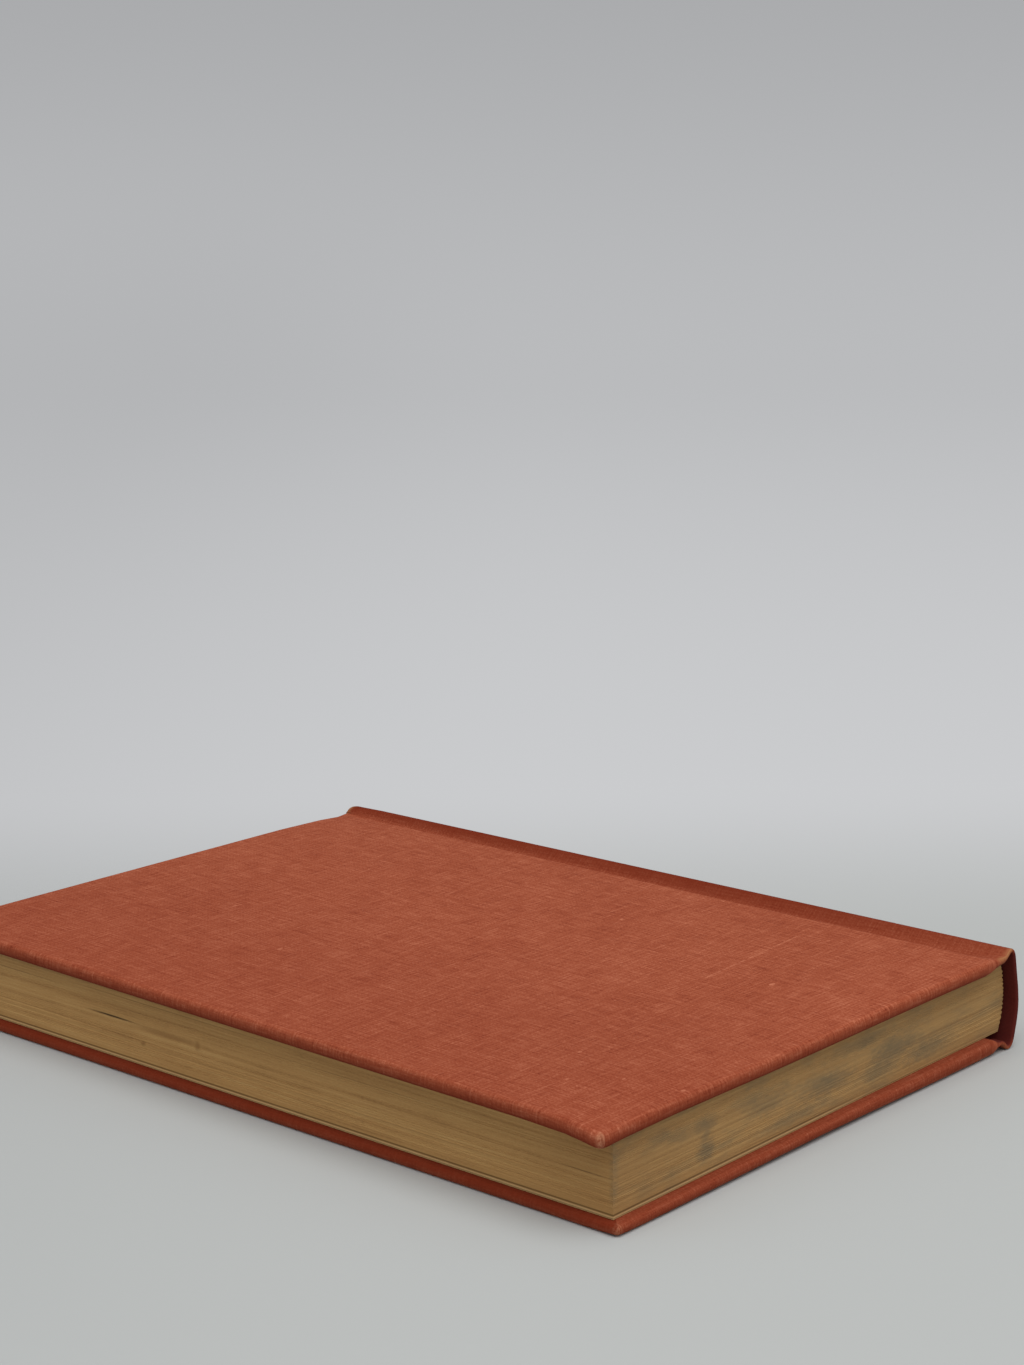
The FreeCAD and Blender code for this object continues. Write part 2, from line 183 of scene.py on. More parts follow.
clothLook = {
    "colour": colour(157, 77, 50),
    "light": colour(196, 118, 88),
    # dark threads, and the painted shade toward the fore-edge
    "dark": colour(116, 42, 24),
    # the colour of the painted shade in the joint, on the ridge and at the board's folded edges
    "groove": colour(112, 36, 12),
    # the dark of the turned-in cloth: partly painted shade, partly unfaded cloth
    "inside": colour(84, 28, 26),
    "worn": colour(204, 146, 112),
    "tan": colour(170, 120, 78),
    "warpPitch": 0.52,
    "weftPitch": 0.58,
    # a long light scratch on the front cover, its two ends, and light flecks: x, y, size
    "scratch": ((-15.4, 63.6), (-57.4, 60.3)),
    "flecks": [(-23.4, 77.5, 1.1), (37.6, 74.1, 0.7), (51.5, 82.7, 0.7), (40.3, 103.6, 0.9),
               (29.0, -25.6, 0.9), (44.0, 91.3, 0.6), (-40.0, 20.0, 0.7), (12.0, -60.0, 0.8)],
    # how much of each mark shows at its strongest: the scratch and the flecks are light marks on the cloth,
    # the joint, spine, fore-edge and fold darks are painted shade, the inside's dark partly painted shade
    "scratchLight": 0.62,
    "fleckLight": 0.85,
    "jointPaintedShade": 0.7,
    "jointPaintedShadeAtHead": 0.4,
    "spinePaintedShade": 0.42,
    "forePaintedShade": 0.16,
    "foldPaintedShade": 0.82,
    "insideShadeAndUnfaded": 0.92,
    "weaveDepth": 0.00013,  # in metres
}


def weaveHeight(u, v):
    # plain weave: warp and weft threads pass over each other in turn
    a = u / clothLook["warpPitch"]
    b = v / clothLook["weftPitch"]
    turn = 2 * math.pi
    warp = (0.5 - 0.5 * (a * turn).cos()) * (0.5 + 0.5 * ((b + a.floor()) * math.pi).cos())
    weft = (0.5 - 0.5 * (b * turn).cos()) * (0.5 - 0.5 * ((a + b.floor()) * math.pi).cos())
    return warp.atLeast(weft)


def scratchMask(f, u, v):
    # how near a point is to the scratch's line, broken up along its length
    (x0, y0), (x1, y1) = clothLook["scratch"]
    length = math.hypot(x1 - x0, y1 - y0)
    ax, ay = (x1 - x0) / length, (y1 - y0) / length
    along = (u - x0) * ax + (v - y0) * ay
    off = ((v - y0) * ax - (u - x0) * ay).abs()
    inside = along.rise(-1, 3) * along.rise(length + 1, length - 6)
    broken = f.noise(along * 0.5, off * 0.5, 61.0, 2.0, 0.6).rise(0.38, 0.6)
    return off.rise(0.42, 0.1) * inside * broken


def unevenSpot(u, v, x, y, wide, high, frayed, outer, inner):
    # an uneven spot of these half sizes, which fades from outer to inner
    dx = (u - x) / wide
    dy = (v - y) / high
    return ((dx * dx + dy * dy) ** 0.5 + frayed).rise(outer, inner)


def threadTone(f, u, v, streak, grain, cloud, height):
    # uneven threads that run both ways, a fine grain and broad clouds; the weave's hollows a touch darker, a
    # painted shade
    look = clothLook
    cross = f.noise(u * 0.11, v * 1.9, 11.0, 4.0, 0.66)
    shade = ((streak - 0.5) * 1.5 + (cross - 0.5) * 1.2 + (grain - 0.5) * 1.4
             + (cloud - 0.5) * 0.34 - 0.02 + (height - 0.35) * 0.06)
    body = f.mix(shade.rise(-0.08, 0.7), look["colour"], look["light"])
    return f.mix(shade.rise(0.05, -0.7), body, look["dark"])


def lightMarks(f, u, v, fray, marked):
    # thick pale threads and specks, and on the front cover the scratch and the flecks
    look = clothLook
    slub = f.noise(u * 1.6, v * 0.12, 23.0, 2.0, 0.55).rise(0.57, 0.70)
    slubAcross = f.noise(u * 0.12, v * 1.6, 27.0, 2.0, 0.55).rise(0.57, 0.70)
    speck = f.noise(u * 1.0, v * 0.8, 31.0, 1.0, 0.4).rise(0.70, 0.78)
    pale = slub * 0.24 + slubAcross * 0.3 + speck * 0.42
    if marked:
        pale = pale + scratchMask(f, u, v) * look["scratchLight"]
        for x, y, size in look["flecks"]:
            fleck = unevenSpot(u, v, x, y, size, size * 0.55, (fray - 0.5) * 1.2, 1.0, 0.55)
            pale = pale + fleck * look["fleckLight"]
    return pale.atMost(0.85)


def jointShade(u, v, size, frayed, cloud):
    # painted shade where the cloth goes down the joint and over the ridge, and on the spine, less of it
    # toward the head
    look = clothLook
    joint = size["board"]
    towardTail = (size["end"] - v) * 0.0135
    band = (u + frayed + towardTail).rise(joint - 1.0, joint - 6.0)
    band = band * u.rise(joint - 13.5, joint - 11.5)
    lessAtHead = v.rise(30, 105) * (look["jointPaintedShade"] - look["jointPaintedShadeAtHead"])
    band = band * (look["jointPaintedShade"] - lessAtHead + (cloud - 0.5) * 0.4)
    return band + u.rise(joint - 7, joint - 12) * look["spinePaintedShade"]


def foldShade(u, v, size):
    # painted shade where the cloth folds round the board's edges, which face away from the light; on the
    # back cover a painted highlight lightens the edge's upper part
    joint = size["board"]
    upper, lower = size["foldFade"]
    fromFore = size["fore"] - u
    fromEnd = size["end"] - v.abs()
    onCover = u.rise(joint - 2, joint + 1)
    fold = fromFore.rise(upper, lower).atLeast(fromEnd.rise(upper, lower) * onCover)
    return fold * (1 - (0 - fromEnd).rise(0.6, 2.2) * size["paintedEdgeLight"])


def wornPlaces(f, u, v, size, body, streak, fray):
    # worn to the thread at the tips and along the rim over the ridge
    look = clothLook
    joint = size["board"]
    fromFore = size["fore"] - u
    fromEnd = size["end"] - v.abs()
    away = (fromFore.atLeast(0) ** 2.0 + fromEnd.atLeast(0) ** 2.0) ** 0.5
    tip = (away + (fray - 0.5) * 3.2).rise(2.3, 0.3) * (streak + (fray - 0.5) * 1.2).rise(0.3, 0.68)
    body = f.mix(tip * size["tipWear"], body, look["worn"])
    onRim = (v.abs() - (size["end"] - 0.2)).abs() + (fray - 0.5) * 1.4
    atRidge = u.rise(joint - 11.0, joint - 9.5) * u.rise(joint - 3.0, joint - 5.5)
    return f.mix(onRim.rise(1.5, 0.1) * atRidge * size["rimWear"], body, look["tan"])


def tuckedIn(u, v, size):
    # the cloth's turned-in part at the joint and the spine, which lies in the hollow; its dark is partly
    # painted shade of the hollow and partly cloth that light hasn't faded
    joint = size["board"]
    past = v.abs()
    inward = past.rise(size["end"] + 0.5, size["end"] + 1.2) * u.rise(joint - 1.5, joint - 3)
    overSpine = past.rise(size["end"] - 0.8, size["end"] + 0.1) * u.rise(joint - 10.5, joint - 12.5)
    return inward.atLeast(overSpine)


def bookCloth(name, size, marked):
    # u runs from the spine to the fore-edge over the cloth, v from the tail to the head
    look = clothLook
    f = Finish(name)
    u, v = f.uv("cloth")
    streak = f.noise(u * 2.1, v * 0.11, 3.0, 4.0, 0.68)
    grain = f.noise(u * 2.3, v * 1.7, 19.0, 3.0, 0.75)
    cloud = f.noise(u * 0.045, v * 0.035, 5.0, 4.0, 0.6)
    fray = f.noise(u * 1.3, v * 1.3, 41.0, 3.0, 0.65)
    frayed = ((grain - 0.5) * 6 + (fray - 0.5) * 3) * 0.6
    height = weaveHeight(u, v)
    body = threadTone(f, u, v, streak, grain, cloud, height)
    body = f.mix(lightMarks(f, u, v, fray, marked), body, look["light"])
    body = f.mix(jointShade(u, v, size, frayed, cloud), body, look["groove"])
    # painted shade: the cloth darker toward the fore-edge, where less light falls
    body = f.mix(u.rise(-25, 45) * look["forePaintedShade"], body, look["dark"])
    body = f.mix(foldShade(u, v, size) * look["foldPaintedShade"], body, look["groove"])
    body = wornPlaces(f, u, v, size, body, streak, fray)
    body = f.mix(tuckedIn(u, v, size) * look["insideShadeAndUnfaded"], body, look["inside"])
    threads = height * 0.35 + streak * 0.8 + grain * 0.7 + fray * 0.2
    return f.surface(Base_Color=body, Roughness=0.9 - height * 0.06,
                     Normal=f.bump(threads, 0.35, look["weaveDepth"]), Specular_IOR_Level=0.12)


leafLook = {
    "edge": colour(180, 138, 84),
    "gold": colour(196, 157, 100),
    "brown": colour(140, 101, 58),
    "grey": colour(112, 99, 76),
    # the dark of painted shade in the gaps and slits between leaves
    "gap": colour(70, 50, 28),
    "last": colour(232, 204, 150),
    "edgeDepth": 0.00022,    # in metres
    "headFrom": 300,         # the head's part of the map starts here
    # where, level, half length, half height, strength; the head's places are x, the fore-edge's y; the slits
    # are gaps between leaves, drawn in painted shade
    "slits": [(-45.0, 9.45, 7.4, 0.24, 1.0), (96.5, 8.1, 7.5, 0.14, 0.5),
              (-84.0, 13.4, 22.0, 0.13, 0.4), (-20.0, 14.6, 42.0, 0.13, 0.34),
              (34.0, 12.0, 26.0, 0.11, 0.3), (48.0, 5.0, 30.0, 0.1, 0.26)],
    "stains": [(-26.0, 8.9, 11.5, 0.75, 0.62), (-34.6, 5.2, 0.8, 0.6, 0.7),
               (-16.2, 8.7, 1.1, 1.1, 0.65)],
    "blotches": [(40.0, 10.6, 3.6, 1.8, 0.7), (39.8, 5.3, 2.8, 2.4, 0.85), (39.9, 7.9, 1.6, 2.6, 0.6),
                 (19.3, 8.6, 7.0, 2.2, 0.6), (-1.7, 7.0, 10.0, 2.6, 0.65), (-28.2, 7.6, 9.0, 3.0, 0.7),
                 (-41.0, 3.9, 10.0, 2.3, 0.7), (-23.3, 4.2, 8.0, 1.9, 0.55),
                 (12.0, 3.0, 14.0, 1.2, 0.4), (-12.0, 12.4, 12.0, 1.6, 0.35),
                 (55.0, 12.5, 4.0, 1.2, 0.4)],
}


def patches(u, v, marks, shift, fray, firstRough, rough):
    # all marks of one kind, the first with an edge of its own roughness
    made = None
    for where, level, length, height, strength in marks:
        frayed = (fray - 0.5) * (rough if made else firstRough)
        patch = unevenSpot(u, v, where + shift, level, length, height, frayed, 1.5, 0.2) * strength
        made = made.atLeast(patch) if made else patch
    return made


def leafTone(f, u, v, onHead, fine, grain, cloud):
    # leaves lighter and browner in turn, and greyer on the head; greyer along the top under the cover,
    # partly painted shadow of the cover's overhang and partly soiling; browner toward the near corner
    look = leafLook
    groups = f.noise(u * 0.010, v * 1.1, 7.0, 2.0, 0.6)
    shade = ((fine - 0.5) * 0.8 + (groups - 0.5) * 0.85 + (grain - 0.5) * 0.45
             + (cloud - 0.5) * 0.45)
    body = f.mix(shade.rise(-0.05, 0.42), look["edge"], look["gold"])
    body = f.mix(shade.rise(0.02, -0.42), body, look["brown"])
    body = f.mix(onHead * (0.16 + cloud.rise(0.42, 0.72) * 0.45), body, look["grey"])
    # painted shadow of the cover's overhang, with some soiling
    body = f.mix(v.rise(14.9, 17.4) * 0.45, body, look["grey"])
    nearCorner = u.rise(70, 103) * (1 - onHead) + (u - look["headFrom"]).rise(30, 69) * onHead
    return f.mix(nearCorner * 0.3, body, look["brown"])


def lastLeaves(f, u, v, onHead, body):
    # painted shade in the gap over the back flyleaf, the light flyleaf, and painted shade in the gap under
    # it
    look = leafLook
    shown = 1 - onHead * (u - look["headFrom"]).rise(8, -25) * 0.85
    body = f.mix(v.rise(1.05, 0.85) * v.rise(0.5, 0.7) * 0.62 * shown, body, look["gap"])
    body = f.mix(v.rise(0.55, 0.45) * 0.38 * shown, body, look["last"])
    return f.mix(v.rise(0.22, 0.14) * 0.5, body, look["gap"])


def leafEdges():
    # u runs along the edge, v is the height above the last leaf, both in millimetres
    look = leafLook
    f = Finish("leaf edges")
    u, v = f.uv("leaves")
    x, y = f.place()[:2]
    onHead = u.rise(150, 200)
    fine = f.noise(u * 0.035, v * 6.5, 2.0, 3.0, 0.7)
    grain = f.noise(u * 1.1, v * 5.0, 13.0, 2.0, 0.6)
    cloud = f.noise(u * 0.07, v * 0.20, 17.0, 4.0, 0.62)
    fray = f.noise(u * 0.5, v * 1.1, 37.0, 4.0, 0.7)
    slit = patches(u, v, look["slits"], 0, fray, 0.0, 0.25)
    stain = patches(u, v, look["stains"], 0, fray, 0.9, 0.8)
    blotch = patches(u, v, look["blotches"], look["headFrom"], fray, 1.9, 2.4)
    smear = (x.rise(67.0, 69.2) * y.rise(101.6, 103.0)) * v.rise(1.5, 5.0) * fray.rise(0.25, 0.7)
    pale = f.noise(u * 0.12, v * 2.2, 71.0, 2.0, 0.5).rise(0.6, 0.72) * onHead
    body = leafTone(f, u, v, onHead, fine, grain, cloud)
    body = f.mix(pale * 0.35, body, look["gold"])
    body = f.mix(stain, body, look["brown"])
    body = f.mix(blotch * (0.6 + cloud * 0.5) * y.rise(-5, 5), body, look["grey"])
    body = f.mix(smear * 0.55, body, look["grey"])
    body = lastLeaves(f, u, v, onHead, body)
    # painted shade in the slits between leaves
    body = f.mix(slit, body, look["gap"])
    bump = f.bump(fine * 0.7 + grain * 0.3 - slit, 0.4, look["edgeDepth"])
    return f.surface(Base_Color=body, Roughness=0.74 + cloud * 0.1, Normal=bump,
                     Specular_IOR_Level=0.2)


paperLook = {
    "sheet": (colour(216, 200, 166), colour(186, 160, 116)),    # the paper and its foxing
    "lining": (colour(150, 112, 72), colour(112, 78, 48)),
    "trimmed": colour(190, 150, 96),
}


def paper(name, kind, layer=None, trimmed=False):
    # a piece that bends has its own map; a trimmed leaf's cut edges are as golden as the block's
    f = Finish(name)
    base, spot = paperLook[kind]
    x, y, z = (*f.uv(layer), 0.0) if layer else f.place()
    pulp = f.noise(x * 0.9, y * 0.9, z * 0.9, 4.0, 0.65)
    cloud = f.noise(x * 0.02, y * 0.02, 9.0, 3.0, 0.6)
    edge = (104 - y.abs()).rise(14, 0) * 0.35
    body = f.mix(cloud.rise(0.4, 0.75) * 0.45 + edge, base, spot)
    body = f.mix((pulp - 0.45).atLeast(0) * 0.5, body, spot)
    if trimmed:
        cut = x.rise(69.1, 69.3).atLeast(y.abs().rise(102.7, 102.9))
        body = f.mix(cut, body, paperLook["trimmed"])
    return f.surface(Base_Color=body, Roughness=0.82 + pulp * 0.06,
                     Normal=f.bump(pulp, 0.25, 0.00008), Specular_IOR_Level=0.25)


def greyBoard():
    f = Finish("grey board")
    x, y, z = f.place()
    fibre = f.noise(x * 1.4, y * 1.1, z * 3.0, 4.0, 0.7)
    body = f.mix(fibre.rise(0.35, 0.7), colour(128, 118, 104), colour(164, 154, 138))
    return f.surface(Base_Color=body, Roughness=0.9 - fibre * 0.05,
                     Normal=f.bump(fibre, 0.4, 0.0002))


def openWeave():
    # the mull: thin threads with glue between them
    f = Finish("mull")
    x, y, z = f.place()
    pitch = 1.1
    across = (y / pitch * math.pi).cos().abs()
    along = (z / pitch * math.pi).cos().abs()
    threads = across.rise(0.75, 0.95).atLeast(along.rise(0.75, 0.95))
    glue = f.noise(x * 0.5, y * 0.5, z * 0.5, 3.0, 0.6)
    between = f.mix(glue, colour(150, 120, 78), colour(172, 142, 96))
    body = f.mix(threads, between, colour(204, 190, 160))
    return f.surface(Base_Color=body, Roughness=0.8 - glue * 0.15,
                     Normal=f.bump(threads, 0.5, 0.0002))


def linenThread():
    f = Finish("linen thread")
    y, z = f.place()[1:]
    twist = ((y * 2 + z * 3) * math.pi).cos() * 0.5 + 0.5
    body = f.mix(twist, colour(176, 158, 124), colour(214, 202, 172))
    return f.surface(Base_Color=body, Roughness=0.75 + twist * 0.08,
                     Normal=f.bump(twist, 0.5, 0.00015))


# Modelling helpers

def makeActive(piece):
    bpy.ops.object.select_all(action="DESELECT")
    piece.select_set(True)
    bpy.context.view_layer.objects.active = piece


def editing(piece):
    makeActive(piece)
    bpy.ops.object.mode_set(mode="EDIT")


def doneEditing():
    bpy.ops.object.mode_set(mode="OBJECT")


def named(name):
    # the primitive just added, with its scale and place put into its mesh
    piece = bpy.context.object
    piece.name = name
    piece.data.name = name
    bpy.ops.object.transform_apply(location=True, rotation=True, scale=True)
    return piece


def startBox(name, low, high):
    # from corner to corner, in millimetres
    low, high = Vector(low), Vector(high)
    bpy.ops.object.select_all(action="DESELECT")
    bpy.ops.mesh.primitive_cube_add(size=1, location=(low + high) / 2 * mm, scale=(high - low) * mm)
    return named(name)


def startPlane(name, width, depth, location):
    # level, in metres
    bpy.ops.object.select_all(action="DESELECT")
    bpy.ops.mesh.primitive_plane_add(size=1, location=location)
    bpy.context.object.scale = (width, depth, 1)
    return named(name)


def pick(piece, kind, test):
    # select only the edges or faces that pass the test, by their middle in millimetres
    bpy.ops.mesh.select_mode(type=kind.upper())
    bpy.ops.mesh.select_all(action="DESELECT")
    bm = bmesh.from_edit_mesh(piece.data)
    count = 0
    for part in (bm.edges if kind == "edge" else bm.faces):
        if kind == "edge":
            middle = (part.verts[0].co + part.verts[1].co) / 2 / mm
        else:
            middle = part.calc_center_median() / mm
        if test(part, middle):
            part.select_set(True)
            count += 1
    bm.select_flush_mode()
    bmesh.update_edit_mesh(piece.data)
    if count == 0:
        raise RuntimeError(piece.name + ": nothing picked")


def cutAt(axis, places):
    # straight cuts across the whole mesh
    normal = Vector((axis == "x", axis == "y", axis == "z"))
    for place in places:
        bpy.ops.mesh.select_all(action="SELECT")
        bpy.ops.mesh.bisect(plane_co=normal * place * mm, plane_no=normal)


def pullOut(move):
    bpy.ops.mesh.extrude_edges_move(TRANSFORM_OT_translate={"value": move})


def faceOutward():
    bpy.ops.mesh.select_all(action="SELECT")
    bpy.ops.mesh.normals_make_consistent(inside=False)


def applyModifier(piece, kind, **settings):
    makeActive(piece)
    modifier = piece.modifiers.new(kind.title(), kind)
    for key, value in settings.items():
        setattr(modifier, key, value)
    bpy.ops.object.modifier_apply(modifier=modifier.name)


def smooth(piece, degrees):
    makeActive(piece)
    bpy.ops.object.shade_smooth_by_angle(angle=math.radians(degrees))


def spread(low, high, count):
    return [low + (high - low) * i / (count - 1) for i in range(count)]


# Case: the book cloth over both covers, the two joints and the spine, in two halves that meet
# along the middle of the spine, because each half bends with its own cover

coverSize = {
    "boardSide": 67.7,   # half the board's width
    "fore": 68.0,        # half the width, with the cloth at the fore-edge
    "half": 105.8,       # half the height
    "thick": 2.4,
    "edgeRound": 1.1,
    "turnIn": 15.0,
    "clothThick": 0.22,
    "hemLine": 103.15,   # from here to the end the joint and the spine have the hem's thickness
    "jointFrom": -66.7,  # x where the joint starts, just inside the board's spine edge
    "jointRun": 6.2,     # its length over the cloth
    "jointFall": (0.14, 0.78),
    "jointEnds": (97, 104.5),
    # knocked corners: fore-edge (1) or spine (-1), head (1) or tail (-1), how far down, its reach
    "frontKnocks": [(1, 1, 0.8, 24), (-1, -1, 0.9, 20), (1, -1, 0.5, 9)],
    "backKnocks": [(1, 1, 0.3, 9), (1, -1, 0.3, 9)],
    "blunt": 2.6,        # the front cover's knocked corner is this round
    # clear of the leaves and the endpaper, in the book's frame and in the cover's own
    "clearEnd": ((103.1, 104.1), (102.3, 103.2)),
    "clearFore": ((69.6, 70.6), (63.9, 64.9)),
    "frontHem": 0.95,    # the front cover's hem swells inward there
    "headDroop": (0.65, (96, 105.8), (-58, 20)),   # its head edge hangs, more toward the fore-edge
    "backHem": (1.05, (96, 104), (-5, 62)),    # the back cover's droops to the table by the spine
}

# the cloth, the boards and the endpapers are cut at the same places, so they bend alike
acrossCuts = spread(-96, 96, 17) + [s * d for s in (-1, 1) for d in (101, 102.2, 103.25, 104.4)]
alongCuts = [*spread(-60, 60, 9), 63.9, 64.9, 66.2, 67]
jointSteps = 44
bendSpan = {"front": (-63.6, -67.1, 21.3), "back": (-64.4, -68.1, 4.0)}  # from x, to x, level

# where each cover's own frame lies: +Z is its outside, and the front one sits a little askew
frontPlace = (Matrix.Translation(Vector((5.6647, 0, 21.1236)) * mm)
              @ Matrix.Rotation(math.radians(0.2), 4, "Y")
              @ Matrix.Rotation(math.radians(-0.8), 4, "Z"))
backPlace = (Matrix.Translation(Vector((3.3647, 0, 3.1121)) * mm)
             @ Matrix.Rotation(math.radians(0.6), 4, "Y")
             @ Matrix.Rotation(math.radians(180), 4, "X"))

# the spine's section from a groove's foot to its middle: x, z, the hem's thickness, thickness
seam = (-75.02, 11.0, 1.15, 1.15)
frontSection = {
    "foot": (-67.235, 21.95, 0.85, 0.46),
    "endLift": 0.95,     # the joint is shallower at head and tail
    "tailSteep": 1.9,    # the ridge's end at the tail stands up steeply from the groove
    "points": [
        (-68.4, 22.45, 0.9, 0.5), (-69.5, 23.3, 0.95, 0.6), (-70.4, 23.95, 1.0, 0.7),
        (-71.2, 24.18, 1.0, 0.8), (-72.1, 23.9, 1.0, 0.95), (-72.85, 23.1, 1.1, 1.1),
        (-73.3, 21.9, 1.15, 1.15), (-73.7, 19.7, 1.15, 1.15), (-74.15, 17.2, 1.15, 1.15),
        (-74.7, 14.2, 1.15, 1.15), seam,
    ],
}
backSection = {
    "foot": (-68.235, 1.7, 1.1, 0.8),
    "endLift": -0.1,
    "points": [
        (-69.0, 1.3, 1.05, 0.8), (-69.7, 0.65, 1.0, 0.75), (-70.5, 0.18, 1.0, 0.75),
        (-71.3, 0.04, 1.05, 0.8), (-72.1, 0.35, 1.1, 0.95), (-72.8, 1.0, 1.15, 1.1),
        (-73.35, 2.1, 1.15, 1.15), (-73.9, 3.9, 1.15, 1.15), (-74.45, 6.0, 1.15, 1.15),
        (-74.9, 8.5, 1.15, 1.15), seam,
    ],
}


def roundedCover(name, place, front):
    # a cover's outer cloth before it meets the joint, in the cover's own frame, then laid in place
    size = coverSize
    half, fore = size["half"], size["fore"]
    ringX = size["jointFrom"]
    piece = startBox(name, (ringX, -half, 0), (fore, half, size["thick"]))
    editing(piece)
    pick(piece, "face", lambda p, m: m.x < ringX + 0.01)
    bpy.ops.mesh.delete(type="ONLY_FACE")
    pick(piece, "edge", lambda e, m: not e.is_boundary)
    bpy.ops.mesh.bevel(offset=size["edgeRound"] * mm, segments=5, affect="EDGES")
    pick(piece, "face", lambda p, m: p.normal.z < -0.9 and p.calc_area() > 0.001)
    bpy.ops.mesh.inset(thickness=(size["turnIn"] - size["edgeRound"]) * mm, use_boundary=False)
    bpy.ops.mesh.delete(type="FACE")
    cutAt("x", alongCuts)
    cutAt("y", acrossCuts)
    bm = bmesh.from_edit_mesh(piece.data)
    mapCover(bm, size)
    shapeHems(bm, place, front, 0, size["thick"], 1)
    bm.transform(place)
    bmesh.update_edit_mesh(piece.data)
    return piece


def mapCover(bm, size):
    # lay the cloth out flat: the top as it is, its folded edges beyond it
    depth = bm.verts.layers.float.new("ringDepth")
    for vert in bm.verts:
        vert[depth] = 1 - vert.co.z / mm / size["thick"]
    layer = bm.loops.layers.uv.new("cloth")
    fore, half, thick = size["fore"], size["half"], size["thick"]
    for face in bm.faces:
        normal = face.normal
        middle = face.calc_center_median() / mm
        side = 1 if middle.y > 0 else -1
        towardFore = fore - middle.x < half - abs(middle.y)
        for loop in face.loops:
            x, y, z = loop.vert.co / mm
            if normal.z > 0.7:
                place = (x, y)
            elif normal.z < -0.7:
                place = (x, side * (2 * half + thick - abs(y)))
                if towardFore:
                    place = (2 * fore + thick - x, y)
            elif abs(normal.x) > abs(normal.y):
                place = (fore + thick - z, y)
            else:
                place = (x, side * (half + thick - z))
            loop[layer].uv = place


def easing(value, low, high):
    t = min(1, max(0, (value - low) / (high - low)))
    return t * t * (3 - 2 * t)


def knockedDown(x, y, knocks):
    # how far the corners' knocks press a point down
    dip = 0
    for atFore, atHead, depth, reach in knocks:
        cornerX = coverSize["fore"] if atFore > 0 else -coverSize["boardSide"]
        away = math.hypot(cornerX - x, atHead * coverSize["half"] - y)
        dip += depth * max(0, 1 - away / reach) ** 2
    return dip


def clearOfLeaves(x, y, laid):
    # 1 where nothing lies under the cover's edge, 0 over the leaves and the endpaper
    (endLaid, endOwn), (foreLaid, foreOwn) = coverSize["clearEnd"], coverSize["clearFore"]
    pastEnd = easing(abs(laid.y), *endLaid) * easing(abs(y), *endOwn)
    pastFore = easing(laid.x, *foreLaid) * easing(x, *foreOwn)
    return max(pastEnd, pastFore)


def shapeHems(bm, place, front, low, high, swell):
    # knocked corners, and folds of cloth that aren't quite flat, still in the cover's own frame
    size = coverSize
    for vert in bm.verts:
        x, y, z = vert.co / mm
        clear = clearOfLeaves(x, y, place @ vert.co / mm)
        outer = (z - low) / (high - low)
        dip = knockedDown(x, y, size["frontKnocks" if front else "backKnocks"])
        depth, across, along = size["headDroop" if front else "backHem"]
        if front:
            dip += depth * easing(y, *across) * easing(x, *along)
            z -= dip * max(outer, clear)
            z -= swell * size["frontHem"] * clear * (1 - outer)
            x, y = bluntCorner(x, y)
        else:
            droop = easing(abs(y), *across) * easing(-x, *along)
            z += (depth * droop - dip) * outer
        vert.co = Vector((x, y, z)) * mm


def bluntCorner(x, y):
    # draw the front cover's corner at the head and fore-edge in to an arc
    size = coverSize
    acrossX = x - size["fore"] + size["blunt"]
    acrossY = y - size["half"] + size["blunt"]
    if min(acrossX, acrossY) > 0:
        shrink = 1 - max(acrossX, acrossY) / math.hypot(acrossX, acrossY)
        return x - acrossX * shrink, y - acrossY * shrink
    return x, y


def sectionStations(foot, points, steps):
    # points along a smooth curve through the section's points, with their thicknesses
    chain = [foot, *points]
    ends = [tuple(2 * a - b for a, b in zip(chain[0], chain[1]))]
    chain = ends + chain + [tuple(2 * a - b for a, b in zip(chain[-1], chain[-2]))]
    made = []
    for i in range(1, len(chain) - 2):
        p0, p1, p2, p3 = chain[i - 1:i + 3]
        for k in range(1, steps + 1):
            t = k / steps
            made.append(tuple(
                0.5 * (2 * b + (c - a) * t + (2 * a - 5 * b + 4 * c - d) * t ** 2
                       + (3 * b - a - 3 * c + d) * t ** 3)
                for a, b, c, d in zip(p0, p1, p2, p3)))
    return made


def openSide(bm):
    # the edges of the cover's open side, without the ends of its turn-ins
    xLow = min(v.co.x for v in bm.verts) + 4 * mm
    near = [e for e in bm.edges if e.is_boundary and all(v.co.x < xLow for v in e.verts)]
    sizes = [(e, e.verts[0].co - e.verts[1].co) for e in near]
    return [e for e, size in sizes if abs(size.x) < abs(size.y) + 1e-4]


def extrudeJointAndSpine(piece, section, outward):
    # pull the cover's open side out along the groove, the ridge and half of the spine
    size = coverSize
    bm = bmesh.from_edit_mesh(piece.data)
    ringY = bm.verts.layers.float.new("ringY")
    ringStart = bm.verts.layers.float_vector.new("ringStart")
    run = bm.verts.layers.float.new("run")
    ring = openSide(bm)
    place = frontPlace if outward > 0 else backPlace
    for vert in {v for e in ring for v in e.verts}:
        vert[ringY] = (place.inverted() @ vert.co).y * outward / mm
        vert[ringStart] = vert.co / mm
        vert[run] = size["jointFrom"]
    bpy.ops.mesh.select_mode(type="EDGE")
    bpy.ops.mesh.select_all(action="DESELECT")
    for e in ring:
        e.select_set(True)
    bmesh.update_edit_mesh(piece.data)
    travelled = -size["jointFrom"]
    for k in range(jointSteps - 1, -1, -1):
        travelled += size["jointRun"] / jointSteps
        grooveRing(piece, section, k / jointSteps, travelled, outward)
    previous = Vector(section["foot"][:2])
    for here, inward, hem, flat in walkSection(section, outward):
        travelled += (here - previous).length
        previous = here
        spineRing(piece, section, here, inward, hem, flat, travelled, outward)


